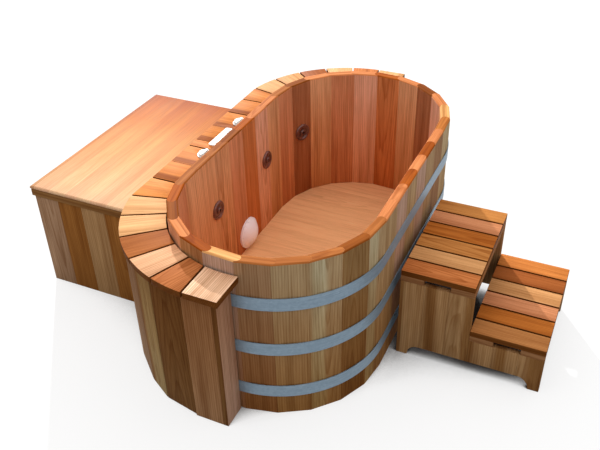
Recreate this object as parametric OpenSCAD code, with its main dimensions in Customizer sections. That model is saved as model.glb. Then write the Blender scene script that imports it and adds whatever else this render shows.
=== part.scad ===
// Oval soaking tub of upright cedar staves, with a deck on a boarded skirt
// round its back and ends, an equipment box behind it and a pair of steps.
// Millimetres. X runs along the tub, +Y points to the equipment box, Z is up.
// The origin is the middle of the tub's footprint on the floor.

/* [Tub] */
// Length of the straight part of each long side
straight_len = 728; // [720:1:736]
// Radius of the rounded ends, to the middle of the wall
end_radius = 377; // [375:0.5:379]
// Height of the staves
tub_height = 666; // [655:1:680]
// Thickness of the staves
wall_t = 40; // [39:0.5:41]
// Number of staves round the tub
stave_count = 34; // [34]
// Rounding of the rim's edges
rim_round = 6; // [3:1:9]
// Height of the floor boards' top face
floor_top = 86; // [84:1:90]
// Thickness of the floor boards
floor_t = 38; // [36:1:40]
// Number of floor boards
floor_boards_n = 11; // [11]

/* [Hoops] */
// Width of the steel band
hoop_w = 51; // [46:1:51]
// Thickness of the steel band
hoop_t = 2.5; // [2:0.5:2.5]
// Height of the lowest band's lower edge
hoop_low = 87; // [80:1:87]
// Distance from one band to the next
hoop_pitch = 196.5; // [194:0.5:200]

/* [Deck and skirt] */
// Height of the deck's top face
deck_top = 612; // [608:1:620]
// Thickness of the deck boards
deck_t = 25; // [22:1:28]
// Distance from the tub's long axis to the deck's straight outer edge
deck_reach = 541; // [540:1:545]
// Radius of the deck's round corners
deck_arc_r = 494; // [492:0.5:496]
// Number of tapered boards round each corner
fan_count = 6; // [6]
// Gap between most deck boards
deck_gap = 7; // [4:0.5:8]
// Gap where two straight deck boards meet tightly
tight_gap = 1.5; // [1:0.5:3]
// How far the straight deck boards sit towards the far end
deck_shift = 6; // [0:1:8]
// Width of the narrow filler board in the deck
filler_w = 55; // [50:1:60]
// Thickness of the skirt boards
skirt_t = 19; // [18:1:20]

/* [Equipment box] */
// Height of the box walls
box_wall_h = 434; // [430:1:440]
// Thickness of the box walls
box_wall_t = 19; // [18:1:20]
// Thickness of the lid board
lid_t = 16; // [14:1:18]
// Height of the frame under the lid board
lid_frame_h = 30; // [26:1:32]

/* [Steps] */
// Width of the steps along the tub
step_width = 508; // [500:1:520]
// Depth of each tread
tread_depth = 272; // [260:1:280]
// Height of the upper tread
tread_high = 400; // [390:1:410]
// Height of the lower tread
tread_low = 202; // [195:1:210]
// Thickness of the tread slats
slat_t = 24; // [20:1:26]
// Gap between tread slats
slat_gap = 8; // [5:1:10]
// Number of slats in each tread
slat_count = 6; // [6]

/* [Water fittings] */
// Height of the jets
jet_z = 418; // [416:1:420]
// Height of the suction fitting
suction_z = 162; // [162:1:166]
// Diameter of the suction cover
suction_d = 140; // [130:1:142]

/* [Hidden] */
$fn = 64;

// Colours
stave_colour = "#9a7350";
floor_colour = "#c98d62";
band_colour = "#7c8fa0";
steel_colour = "#b9bec2";
deck_colour = "#e0a368";
skirt_colour = "#86664a";
frame_colour = "#a98763";
box_colour = "#94744f";
lid_colour = "#e8a97a";
plastic_white = "#f2f2ee";
plastic_dark = "#4a2620";
plastic_black = "#2b2d30";
pipe_colour = "#e9e9e4";
motor_colour = "#56606b";
cover_colour = "#e6d6d3";
slat_colour = "#c98a50";
brass_colour = "#b9964f";

// Tub: the line through the middle of the wall, and the staves along it
half_len = straight_len / 2;
loop_len = 2 * straight_len + 2 * PI * end_radius;
stave_pitch = loop_len / stave_count;
half_loop = stave_count / 2;
stave_turn = stave_pitch / end_radius * 180 / PI;
seam_gap = 0.3;
shoulder = 3;
bead_r = wall_t / 2 - shoulder;
croze_depth = 10;
croze_fit = 0.4;
outer_y = end_radius + wall_t / 2;
inner_y = end_radius - wall_t / 2;
facet_inner_r = end_radius * cos(stave_turn / 2) - wall_t / 2;
floor_r = facet_inner_r + croze_depth - 0.8;
floor_bottom = floor_top - floor_t;
joist_w = 90;
joist_y = 180;

// Hoops
hoop_in = end_radius + wall_t / 2 / cos(stave_turn / 2) + 0.2;
hoop_joint_x = 312;
hoop_joint_gap = 30;
ear_out = 22;
ear_t = 4;
hoop_bolt_r = 5;

// Deck
deck_under = deck_top - deck_t;
deck_end_reach = 536;
deck_arc_middle = [-half_len - 43, 54.5];
deck_hole_r = hoop_in + hoop_t + 0.4;
end_board_front = -46;
end_board_back = 80;
fan_step = (90 - asin(end_board_back / deck_reach)) / fan_count;
deck_board_w = (straight_len - filler_w) / 5;

// Skirt: its corners round the near end, as a bearing from the long axis and
// a distance from the centre of the tub's rounded end
skirt_end_reach = 495;
skirt_front = -14.5;
skirt_back = 520;
skirt_corners = [[13.5, 504], [29, 530], [41, 540], [57, 560], [71, 549], [83, 524]];
skirt_line = concat([[-half_len - skirt_end_reach, skirt_front]],
    [for (c = skirt_corners) [-half_len - c[1] * cos(c[0]), c[1] * sin(c[0])]]);
skirt_last = len(skirt_corners);
panel_gap = 4;
frame_fit = 0.4;
stud_w = 38;
plate_t = 25;
plate_depth = 150;
rail_low = 30;
fascia_low = 440;
fascia_n = 7;

// Equipment box
box_near = -427;
box_far = 496;
box_front = 522;
box_back = 1093.5;
box_base_z = 20;
box_base_t = 18;
lid_over = 5;
lid_back_over = 14;
lid_front = 547;
lid_low = box_wall_h + 0.4;
lid_board_z = lid_low + lid_frame_h;
lid_top = lid_board_z + lid_t;
lid_strip_w = 38;
conduit_y = 1036;
conduit_z = 90;
conduit_r = 11.2;
hinge_x = [-250, 320];
hinge_len = 90;
hinge_r = 4.5;
hinge_pin_r = 2;
hinge_y = box_back + lid_back_over + 3;
hinge_z = box_wall_h + 0.2;
leaf_t = 2.5;

// Water fittings: place of each on the wall's inner face, and its bearing
far_jet_stave = 15;
far_jet_mid = (wall_point(far_jet_stave * stave_pitch)
    + wall_point((far_jet_stave + 1) * stave_pitch)) / 2;
far_jet_bearing = heading(far_jet_stave) - 90;
far_jet_xy = far_jet_mid
    - wall_t / 2 * [cos(far_jet_bearing), sin(far_jet_bearing)];
jet_near = [-210, inner_y, jet_z, 90];
jet_middle = [223, inner_y, jet_z, 90];
jet_far = [far_jet_xy[0], far_jet_xy[1], jet_z, far_jet_bearing];
suction_place = [15, inner_y, suction_z, 90];
jet_bore_r = 24;
suction_bore_r = 20;
port_out = 44;
plumb_y = outer_y + port_out;
far_port = far_jet_mid + (wall_t / 2 + port_out)
    * [cos(far_jet_bearing), sin(far_jet_bearing)];
port_len = 34;
manifold_z = 352;
drain_xy = [-230, 285];
drain_z = 20;
drain_bore_r = 14;
strainer_tail = 8;
drain_line_z = 70;
drain_nut_t = 6;
drain_thread_r = 13.2;
drain_thread_len = 26;

// Pump, filter and heater
pump_y = 640;
pump_front = 60;
pump_back = 128;
volute_r = 85;
motor_r = 78;
motor_end = 368;
shaft_r = 9;
filter_xy = [370, 930];
filter_r = 88;
filter_h = 292;
heater_z = 100;
pressure_z = 300;
return_x = -140;
pipe_r = 24;
return_r = 20;
air_r = 8;
drain_r = 13;
elbow_ratio = 1.5;
elbow_seat = 1.08;
tee_ratio = 1.2;
face_gap = 0.2;
equip_z = box_base_z + box_base_t;

// Controls in the deck
control_y = plumb_y;
air_x = [-134, 159];
air_bezel_r = 30;
air_neck_r = 19;
air_stem_r = 8;
air_neck_low = 540;
keypad_x = 16;
keypad_y = 438.5;
keypad_size = [152, 60];
keypad_t = 6;
button_x = [-52, 40, 60];
button_size = [14, 24];
button_travel = 1.2;

// Steps
step_x = -270;
step_y = -429.5;
slat_w = (step_width - (slat_count - 1) * slat_gap) / slat_count;
side_t = 22;
side_inset = 2;
step_rail_h = 25;
step_rail_w = 44;
hand_hold_w = 100;
step_boards = 6;
foot_w = 42;
arch_h = 48;
arch_r = 44;

// ---------- Layout functions ----------

// Point at distance s along the middle of the wall, anticlockwise from the
// near end of the front side; the back half is the front half turned round
function wall_point(s) =
    s >= loop_len / 2 ? -wall_point(s - loop_len / 2) :
    s < straight_len ? [s - half_len, -end_radius] :
    end_point((s - straight_len) / end_radius * 180 / PI);

// Point on the far end's arc, at an angle from the front side
function end_point(angle) =
    [half_len + end_radius * sin(angle), -end_radius * cos(angle)];

// Stave k runs from stave_start(k) to stave_start(k + 1)
function stave_start(k) =
    wall_point(((k + stave_count) % stave_count) * stave_pitch);
function heading(k) = bearing(stave_start(k + 1) - stave_start(k));
function bearing(v) = atan2(v[1], v[0]);

// Signed turn between two bearings, from -180 to 180
function turn(from, to) =
    to - from > 180 ? to - from - 360 :
    to - from < -180 ? to - from + 360 : to - from;
function stave_bend(k) = turn(heading(k - 1), heading(k));

// Bearing of fan seam i of the near end, from the tub's long axis
function fan_angle(i) = 90 - i * fan_step;

// Seams of the straight deck boards, the third of which is the filler
function deck_seam(i) = -half_len + deck_shift + i * deck_board_w
    - (i > 2 ? deck_board_w - filler_w : 0);
function deck_seam_gap(i) = i == 1 || i == 3 || i == 4 ? tight_gap : deck_gap;

// Skirt facet i runs from corner i to corner i + 1, bending right at each
function skirt_heading(i) = bearing(skirt_line[i + 1] - skirt_line[i]);
function skirt_bend(i) =
    i == 0 || i == skirt_last ? 0 : skirt_heading(i - 1) - skirt_heading(i);

// ---------- Shared shapes ----------

// Flat oval about the tub's centre
module oval(r) {
    translate([-half_len, 0]) circle(r = r);
    translate([half_len, 0]) circle(r = r);
    square([straight_len, 2 * r], center = true);
}

// Round bar from one point to another
module bar(from, to, r) {
    run = to - from;
    length = norm(run);
    translate(from)
        rotate([0, acos(run[2] / length), atan2(run[1], run[0])])
        cylinder(h = length, r = r);
}

// Pipe through a list of points, seated in a round elbow at each corner
module pipe(points, r) {
    last = len(points) - 1;
    for (i = [0 : last - 1]) {
        seat = elbow_seat * r * (points[i + 1] - points[i]) / norm(points[i + 1] - points[i]);
        bar(points[i] + (i > 0 ? 1 : 0) * seat,
            points[i + 1] - (i + 1 < last ? 1 : 0) * seat, r);
    }
    for (i = [1 : 1 : last - 1])
        translate(points[i])
            rotate(45)
            sphere(r = elbow_ratio * r);
}

// Places its children on the wall's inner face, with +Z into the tub
module at_wall(place) {
    translate([place[0], place[1], place[2]])
        rotate([90, 0, place[3] - 90])
        children();
}

// Bore through the wall at a fitting
module wall_bore(place, r) {
    at_wall(place)
        translate([0, 0, -wall_t - 10])
        cylinder(h = wall_t + 20, r = r);
}

// Plank in the XY plane with rounded corners
module rounded_plate(size, r, t) {
    linear_extrude(t) {
        square([size[0] - 2 * r, size[1]], center = true);
        square([size[0], size[1] - 2 * r], center = true);
        for (x = [-1, 1], y = [-1, 1])
            translate([x * (size[0] / 2 - r), y * (size[1] / 2 - r)])
                circle(r = r);
    }
}

// Shallow V groove, cut along a wall's outer face to part two boards
module board_groove(height) {
    rotate(45)
        cube([2.4, 2.4, 2 * height], center = true);
}

// ---------- Staves ----------

// Radial section of a stave: eased rim and the groove that holds the floor
module stave_section() {
    difference() {
        union() {
            translate([-wall_t / 2, 0])
                square([wall_t, tub_height - rim_round]);
            translate([-wall_t / 2 + rim_round, 0])
                square([wall_t - 2 * rim_round, tub_height]);
            for (side = [-1, 1])
                translate([side * (wall_t / 2 - rim_round), tub_height - rim_round])
                    circle(r = rim_round);
        }
        translate([wall_t / 2 - croze_depth, floor_bottom - croze_fit / 2])
            square([croze_depth + 1, floor_t + croze_fit]);
    }
}

// Plan of stave k, along +X from its hollowed edge to its rounded edge.
// The edges are mitred for the bend, and the bead seats in the next cove.
module stave_plan(k) {
    length = norm(stave_start(k + 1) - stave_start(k));
    start_mitre = wall_t / 2 * tan(stave_bend(k) / 2);
    end_mitre = wall_t / 2 * tan(stave_bend(k + 1) / 2);
    g = seam_gap / 2;
    difference() {
        union() {
            polygon([
                [g - start_mitre, -wall_t / 2],
                [length + end_mitre - g, -wall_t / 2],
                [length - end_mitre - g, wall_t / 2],
                [g + start_mitre, wall_t / 2]]);
            translate([length, 0])
                circle(r = bead_r);
        }
        circle(r = bead_r + seam_gap);
    }
}

module stave(k) {
    translate(stave_start(k))
        rotate(heading(k))
        intersection() {
            linear_extrude(tub_height)
                stave_plan(k);
            translate([-wall_t, 0, 0])
                rotate([90, 0, 90])
                linear_extrude(stave_pitch + 2 * wall_t)
                stave_section();
        }
}

// Staves from number first to number last
module stave_group(first, last) {
    for (k = [first : last])
        stave(k);
}

module staves_front() {
    color(stave_colour)
        stave_group(0, 6);
}

module staves_far_end() {
    color(stave_colour)
        difference() {
            stave_group(7, half_loop - 1);
            wall_bore(jet_far, jet_bore_r);
        }
}

module staves_back() {
    color(stave_colour)
        difference() {
            stave_group(half_loop, half_loop + 6);
            wall_bore(jet_near, jet_bore_r);
            wall_bore(jet_middle, jet_bore_r);
            wall_bore(suction_place, suction_bore_r);
            wall_bore([drain_xy[0], inner_y, drain_z, 90], drain_bore_r);
        }
}

module staves_near_end() {
    color(stave_colour)
        stave_group(half_loop + 7, stave_count - 1);
}

// ---------- Floor ----------

module floor_boards() {
    pitch = 2 * (half_len + floor_r) / floor_boards_n;
    color(floor_colour)
        difference() {
            translate([0, 0, floor_bottom])
                linear_extrude(floor_t)
                for (i = [0 : floor_boards_n - 1])
                    intersection() {
                        oval(floor_r);
                        translate([-half_len - floor_r + i * pitch + seam_gap / 2, -floor_r])
                            square([pitch - seam_gap, 2 * floor_r]);
                    }
            translate([drain_xy[0], drain_xy[1], 0])
                cylinder(h = floor_top + 1, r = suction_bore_r + 4);
        }
}

// Bearers that carry the floor inside the ring of staves
module floor_joists() {
    color(frame_colour)
        for (y = [-joist_y, 0, joist_y]) {
            edge = abs(y) + joist_w / 2;
            length = 2 * (half_len + sqrt(pow(facet_inner_r, 2) - pow(edge, 2)) - 12);
            translate([-length / 2, y - joist_w / 2, 0])
                cube([length, joist_w, floor_bottom - face_gap]);
        }
}

// ---------- Hoops ----------

// Steel band round the staves, with its ends turned out as bolted ears
module hoop(z) {
    joint_y = hoop_in + hoop_t / 2;
    translate([0, 0, z])
        color(band_colour)
        difference() {
            union() {
                linear_extrude(hoop_w)
                    difference() {
                        oval(hoop_in + hoop_t);
                        oval(hoop_in);
                        translate([hoop_joint_x - hoop_joint_gap / 2, joint_y - 5])
                            square([hoop_joint_gap, 10]);
                    }
                for (side = [-1, 1])
                    translate([hoop_joint_x + side * (hoop_joint_gap + ear_t) / 2, joint_y - hoop_t / 2, 0])
                        translate([-ear_t / 2, 0, 0])
                        cube([ear_t, ear_out, hoop_w]);
            }
            translate([hoop_joint_x - 40, hoop_in + ear_out / 2 + 3, hoop_w / 2])
                rotate([0, 90, 0])
                cylinder(h = 80, r = hoop_bolt_r + 0.5);
        }
}

module hoop_top() {
    hoop(hoop_low + 2 * hoop_pitch);
}

module hoop_middle() {
    hoop(hoop_low + hoop_pitch);
}

module hoop_bottom() {
    hoop(hoop_low);
}

// Tension bolts through the ears, each with its head, washer face and nut
module hoop_bolts() {
    ear_outer = hoop_joint_gap / 2 + ear_t + face_gap;
    color(steel_colour)
        for (i = [0 : 2])
            translate([hoop_joint_x, hoop_in + ear_out / 2 + 3, hoop_low + i * hoop_pitch + hoop_w / 2])
                rotate([0, 90, 0]) {
                    translate([0, 0, -ear_outer - 12])
                        cylinder(h = 2 * ear_outer + 24, r = hoop_bolt_r);
                    translate([0, 0, -ear_outer - 7])
                        cylinder(h = 7, r = 9, $fn = 6);
                    translate([0, 0, ear_outer])
                        cylinder(h = 8, r = 9, $fn = 6);
                }
}

// ---------- Deck ----------

// Boards of one end: a fan of tapered boards, then a square end board
module end_deck_plan(shift) {
    edge_x = -half_len + shift - deck_gap / 2;
    end_x = -half_len - deck_end_reach;
    difference() {
        union() {
            intersection() {
                translate(deck_arc_middle)
                    circle(r = deck_arc_r, $fn = 180);
                translate([end_x, end_board_back - 1])
                    square([edge_x - end_x, deck_reach - end_board_back + 1]);
            }
            translate([end_x, end_board_front])
                square([edge_x - end_x, end_board_back - end_board_front]);
        }
        translate([-half_len, 0])
            circle(r = deck_hole_r);
        for (i = [1 : fan_count - 1])
            translate([-half_len, 0])
                rotate(180 - fan_angle(i))
                translate([0, -deck_gap / 2])
                square([deck_reach + 60, deck_gap]);
        translate([end_x - 1, end_board_back - deck_gap / 2])
            square([deck_end_reach - deck_hole_r + 60, deck_gap]);
    }
}

module deck_boards_near() {
    color(deck_colour)
        translate([0, 0, deck_under])
        linear_extrude(deck_t)
        end_deck_plan(deck_shift);
}

module deck_boards_far() {
    color(deck_colour)
        translate([0, 0, deck_under])
        mirror([1, 0, 0])
        linear_extrude(deck_t)
        end_deck_plan(-deck_shift);
}

// Straight boards behind the tub, cut out for the controls
module deck_boards_back() {
    color(deck_colour)
        difference() {
            translate([0, 0, deck_under])
                linear_extrude(deck_t)
                for (i = [0 : 5]) {
                    x0 = deck_seam(i) + deck_seam_gap(i) / 2;
                    x1 = deck_seam(i + 1) - deck_seam_gap(i + 1) / 2;
                    translate([x0, deck_hole_r])
                        square([x1 - x0, deck_reach - deck_hole_r]);
                }
            for (x = air_x)
                translate([x, control_y, deck_under - 1])
                    cylinder(h = deck_t + 2, r = air_neck_r + 1);
            translate([keypad_x, keypad_y, deck_under - 1])
                rounded_plate([keypad_size[0] - 12, keypad_size[1] - 10], 4, deck_t + 2);
        }
}

// ---------- Skirt ----------

// Prism along skirt facet i, between two depths behind its outer face
module facet_prism(i, depth_out, depth_in, gap, z, height) {
    length = norm(skirt_line[i + 1] - skirt_line[i]);
    start_mitre = tan(skirt_bend(i) / 2);
    end_mitre = tan(skirt_bend(i + 1) / 2);
    translate([skirt_line[i][0], skirt_line[i][1], z])
        rotate(skirt_heading(i))
        linear_extrude(height)
        polygon([
            [gap / 2 + depth_out * start_mitre, -depth_out],
            [length - gap / 2 - depth_out * end_mitre, -depth_out],
            [length - gap / 2 - depth_in * end_mitre, -depth_in],
            [gap / 2 + depth_in * start_mitre, -depth_in]]);
}

// Boarded panel of one facet, with a groove between its two boards
module skirt_panel(i) {
    length = norm(skirt_line[i + 1] - skirt_line[i]);
    difference() {
        facet_prism(i, 0, skirt_t, panel_gap, 0, deck_under - face_gap);
        translate([skirt_line[i][0], skirt_line[i][1], 0])
            rotate(skirt_heading(i))
            translate([length / 2, 0, deck_under / 2])
            board_groove(deck_under);
    }
}

// Panels round the near end; the first one stops behind the end board
module skirt_panels_near() {
    first_y = skirt_front + skirt_t + 0.5;
    color(skirt_colour) {
        translate([-half_len - skirt_end_reach, first_y, 0])
            cube([skirt_t, skirt_line[1][1] - first_y - panel_gap / 2, deck_under - face_gap]);
        for (i = [1 : skirt_last - 1])
            skirt_panel(i);
    }
}

module skirt_panels_far() {
    mirror([1, 0, 0])
        skirt_panels_near();
}

// Short boards between the deck and the equipment box lid
module skirt_fascia() {
    start = skirt_line[skirt_last][0];
    pitch = -2 * start / fascia_n;
    color(skirt_colour)
        for (i = [0 : fascia_n - 1])
            translate([start + i * pitch + 1, skirt_back - skirt_t, fascia_low])
                cube([pitch - 2, skirt_t, deck_under - face_gap - fascia_low]);
}

// Board that closes the skirt against the staves at each end
module end_board() {
    translate([-half_len - skirt_end_reach, skirt_front, 0])
        cube([skirt_end_reach - deck_hole_r - 0.5, skirt_t, deck_under - face_gap]);
}

module end_boards() {
    color(skirt_colour) {
        end_board();
        mirror([1, 0, 0])
            end_board();
    }
}

// Framing of one end: under the deck, above the floor, and studs between
module end_frame() {
    back = skirt_t + frame_fit;
    for (i = [0 : skirt_last - 1]) {
        length = norm(skirt_line[i + 1] - skirt_line[i]);
        difference() {
            facet_prism(i, back, plate_depth, 1, deck_under - plate_t, plate_t - face_gap);
            translate([-half_len, 0, 0])
                cylinder(h = tub_height, r = deck_hole_r + 2);
            translate([-half_len - skirt_end_reach - 1, skirt_front - 1, 0])
                cube([skirt_end_reach, skirt_t + 1.5, tub_height]);
            translate([-half_len - 40, 0, 0])
                cube([straight_len, deck_reach, tub_height]);
        }
        translate([skirt_line[i][0], skirt_line[i][1], 0])
            rotate(skirt_heading(i)) {
                translate([length / 2 - stud_w / 2, -back - stud_w, rail_low + stud_w + frame_fit])
                    cube([stud_w, stud_w, deck_under - plate_t - rail_low - stud_w - 2 * frame_fit]);
                translate([stud_w / 2 + 8, -back - stud_w, rail_low])
                    cube([length - stud_w - 16, stud_w, stud_w]);
            }
    }
}

// Framing behind the tub: two posts, a rail and cross pieces
module back_frame() {
    rail_back = skirt_back - skirt_t - frame_fit;
    rail_t = 20;
    post_x = -skirt_line[skirt_last][0] - stud_w - 2;
    rail_z = deck_under - stud_w;
    translate([-post_x - stud_w, rail_back - rail_t, rail_z])
        cube([2 * (post_x + stud_w), rail_t, stud_w - face_gap]);
    for (x = [-post_x - stud_w, post_x])
        translate([x, rail_back - rail_t, 0])
            cube([stud_w, rail_t, rail_z - frame_fit]);
    for (i = [1, 5])
        translate([deck_seam(i) - stud_w / 2, deck_hole_r + 2, rail_z])
            cube([stud_w, rail_back - rail_t - frame_fit - deck_hole_r - 2, stud_w - face_gap]);
}

module skirt_frame() {
    color(frame_colour) {
        end_frame();
        mirror([1, 0, 0])
            end_frame();
        back_frame();
    }
}

// ---------- Equipment box ----------

// Side wall of the box, grooved into boards on its outer face
module box_side(outer_x, inward) {
    depth = box_back - box_front;
    boards = 5;
    difference() {
        translate([inward > 0 ? outer_x : outer_x - box_wall_t, box_front, 0])
            cube([box_wall_t, depth, box_wall_h]);
        for (i = [1 : boards - 1])
            translate([outer_x, box_front + i * depth / boards, box_wall_h / 2])
                board_groove(box_wall_h);
    }
}

module box_walls() {
    inner_near = box_near + box_wall_t + frame_fit;
    inner_far = box_far - box_wall_t - frame_fit;
    boards = 8;
    color(box_colour) {
        box_side(box_near, 1);
        difference() {
            box_side(box_far, -1);
            translate([box_far - box_wall_t - 1, conduit_y, conduit_z])
                rotate([0, 90, 0])
                cylinder(h = box_wall_t + 2, r = conduit_r);
        }
        difference() {
            translate([inner_near, box_back - box_wall_t, 0])
                cube([inner_far - inner_near, box_wall_t, box_wall_h]);
            translate([drain_xy[0], box_back + 1, drain_line_z])
                rotate([90, 0, 0])
                cylinder(h = box_wall_t + 2, r = drain_r + 2);
            for (i = [1 : boards - 1])
                translate([inner_near + i * (inner_far - inner_near) / boards, box_back, box_wall_h / 2])
                    board_groove(box_wall_h);
        }
    }
}

// Corner posts, and the fixed rail between the lid and the skirt
module box_frame() {
    inner_near = box_near + box_wall_t + frame_fit;
    inner_far = box_far - box_wall_t - frame_fit;
    post_h = box_wall_h - equip_z - 2;
    rail_t = lid_front - box_front - 2;
    rail_drop = 38;
    color(frame_colour) {
        for (x = [inner_near, inner_far - stud_w])
            translate([x, box_back - box_wall_t - frame_fit - stud_w, equip_z + face_gap])
                cube([stud_w, stud_w, post_h]);
        for (x = [inner_near, inner_far - stud_w])
            translate([x, box_front, equip_z + face_gap])
                cube([stud_w, stud_w, post_h - rail_drop - 2]);
        translate([inner_near, box_front, box_wall_h - rail_drop])
            cube([inner_far - inner_near, rail_t, rail_drop + 1]);
        translate([box_near, box_front, box_wall_h + frame_fit])
            cube([box_far - box_near, rail_t, lid_top - box_wall_h - frame_fit]);
    }
}

// Floor of the box on three runners
module box_base() {
    inner_near = box_near + box_wall_t + frame_fit;
    inner_far = box_far - box_wall_t - frame_fit;
    depth = box_back - box_wall_t - frame_fit - box_front;
    runner_w = 60;
    color(frame_colour) {
        translate([inner_near, box_front, box_base_z])
            cube([inner_far - inner_near, depth, box_base_t]);
        for (i = [0 : 2])
            translate([inner_near + i * (inner_far - inner_near - runner_w) / 2, box_front, 0])
                cube([runner_w, depth, box_base_z - face_gap]);
    }
}

// Cross-section of the lid board, with a rounded edge all round
module lid_section(width) {
    r = lid_t / 2;
    translate([r, 0])
        square([width - 2 * r, lid_t]);
    for (x = [r, width - r])
        translate([x, r])
            circle(r = r);
}

module box_lid() {
    width = box_far - box_near + 2 * lid_over;
    depth = box_back + lid_back_over - lid_front;
    color(lid_colour)
        translate([box_near - lid_over, lid_front, lid_board_z])
        intersection() {
            rotate([90, 0, 90])
                linear_extrude(width)
                lid_section(depth);
            translate([0, depth, 0])
                rotate([90, 0, 0])
                linear_extrude(depth)
                lid_section(width);
        }
}

// Strips under the lid board that sit on the walls
module lid_frame() {
    inset = 2;
    x0 = box_near - lid_over + inset;
    x1 = box_far + lid_over - inset;
    y0 = lid_front + inset;
    y1 = box_back + lid_back_over - inset;
    h = lid_frame_h - face_gap;
    color(lid_colour) {
        for (x = [x0, x1 - lid_strip_w])
            translate([x, y0, lid_low])
                cube([lid_strip_w, y1 - y0, h]);
        for (y = [y0, y1 - lid_strip_w])
            translate([x0 + lid_strip_w + frame_fit, y, lid_low])
                cube([x1 - x0 - 2 * lid_strip_w - 2 * frame_fit, lid_strip_w, h]);
    }
}

// Hinge knuckles along +X, every second fifth of the length
module knuckles(first, bore_r) {
    part = hinge_len / 5;
    for (i = [first : 2 : 4])
        translate([i * part + 0.3, 0, 0])
            rotate([0, 90, 0])
            difference() {
                cylinder(h = part - 0.6, r = hinge_r, $fn = 32);
                translate([0, 0, -1])
                    cylinder(h = part + 2, r = bore_r, $fn = 32);
            }
}

// Leaf and outer knuckles screwed to the back wall, with the pin
module hinge_leaves_fixed() {
    leaf_h = 32;
    part = hinge_len / 5;
    color(steel_colour)
        for (x = hinge_x)
            translate([x, hinge_y, hinge_z]) {
                knuckles(0, hinge_pin_r - 0.5);
                rotate([0, 90, 0])
                    cylinder(h = hinge_len, r = hinge_pin_r, $fn = 32);
                translate([0, box_back - hinge_y + face_gap, -leaf_h])
                    cube([hinge_len, leaf_t, leaf_h - 4]);
                for (i = [0 : 2 : 4])
                    translate([i * part + 0.3, box_back - hinge_y + face_gap, -8])
                        cube([part - 0.6, hinge_y - box_back - hinge_pin_r - 1, 7.8]);
            }
}

// Leaf and inner knuckles screwed to the lid
module hinge_leaves_moving() {
    leaf_h = 28;
    part = hinge_len / 5;
    leaf_y = box_back + lid_back_over - 2 + face_gap - hinge_y;
    color(steel_colour)
        for (x = hinge_x)
            translate([x, hinge_y, hinge_z]) {
                knuckles(1, hinge_pin_r + 0.1);
                translate([0, leaf_y, 5.5])
                    cube([hinge_len, leaf_t, leaf_h - 5.5]);
                for (i = [1 : 2 : 3])
                    translate([i * part + 0.3, leaf_y, 2.5])
                        cube([part - 0.6, leaf_t, 4]);
            }
}

// ---------- Pump, heater and filter ----------

module pump_motor() {
    fin_n = 24;
    color(motor_colour)
        difference() {
            union() {
                translate([pump_back + face_gap, pump_y, suction_z])
                    rotate([0, 90, 0]) {
                        cylinder(h = motor_end - pump_back - 30, r = motor_r - 6);
                        cylinder(h = 22, r = motor_r);
                        translate([0, 0, motor_end - pump_back - 52])
                            cylinder(h = 52, r = motor_r);
                        for (i = [0 : fin_n - 1])
                            rotate(i * 360 / fin_n)
                                translate([motor_r - 10, -1.5, 10])
                                cube([8, 3, motor_end - pump_back - 60]);
                    }
                translate([pump_back + 60, pump_y - 50, equip_z + face_gap])
                    cube([120, 100, suction_z - equip_z - motor_r + 14]);
                translate([pump_back + 60, pump_y - 35, suction_z + motor_r - 16])
                    cube([90, 70, 40]);
            }
            translate([pump_back - 1, pump_y, suction_z])
                rotate([0, 90, 0])
                cylinder(h = motor_end - pump_back - 20, r = shaft_r + 0.1);
        }
}

// Volute with its inlet on the axis and its outlet on top
module pump_housing() {
    cavity_r = 66;
    color(plastic_black)
        difference() {
            union() {
                translate([pump_front, pump_y, suction_z])
                    rotate([0, 90, 0])
                    cylinder(h = pump_back - pump_front, r = volute_r);
                translate([pump_front - 10, pump_y, suction_z])
                    rotate([0, 90, 0])
                    cylinder(h = 12, r = pipe_r + 6, $fn = 8);
                translate([(pump_front + pump_back) / 2, pump_y, suction_z + volute_r - 10])
                    cylinder(h = 28, r = pipe_r + 6, $fn = 8);
            }
            translate([pump_front + 14, pump_y, suction_z])
                rotate([0, 90, 0])
                cylinder(h = pump_back - pump_front - 28, r = cavity_r);
            translate([pump_front, pump_y, suction_z])
                rotate([0, 90, 0])
                cylinder(h = pump_back - pump_front + 1, r = shaft_r + 0.2);
            translate([pump_front - 11, pump_y, suction_z])
                rotate([0, 90, 0])
                cylinder(h = 40, r = pipe_r - 4);
            translate([(pump_front + pump_back) / 2, pump_y, suction_z + cavity_r - 10])
                cylinder(h = 60, r = pipe_r - 4);
        }
}

// Shaft with the impeller: a back plate and curved-back vanes
module pump_rotor() {
    vane_n = 6;
    impeller_r = 58;
    color(steel_colour)
        translate([pump_front + 20, pump_y, suction_z])
        rotate([0, 90, 0]) {
            cylinder(h = motor_end - pump_front - 60, r = shaft_r);
            translate([0, 0, 22])
                cylinder(h = 4, r = impeller_r);
            for (i = [0 : vane_n - 1])
                rotate(i * 360 / vane_n)
                    translate([10, 4, 4])
                    rotate(-24)
                    cube([44, 3, 19]);
        }
}

// Steel heater tube between two union nuts, with its terminal box
module heater() {
    x0 = return_x + 50;
    x1 = filter_xy[0] - filter_r - 12;
    color(steel_colour)
        translate([x0, filter_xy[1], heater_z]) {
            rotate([0, 90, 0]) {
                cylinder(h = x1 - x0 - face_gap, r = pipe_r + 8);
                cylinder(h = 24, r = pipe_r + 16, $fn = 8);
                translate([0, 0, x1 - x0 - 24 - face_gap])
                    cylinder(h = 24, r = pipe_r + 16, $fn = 8);
            }
            translate([90, -32, 24])
                cube([140, 64, 46]);
        }
}

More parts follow.
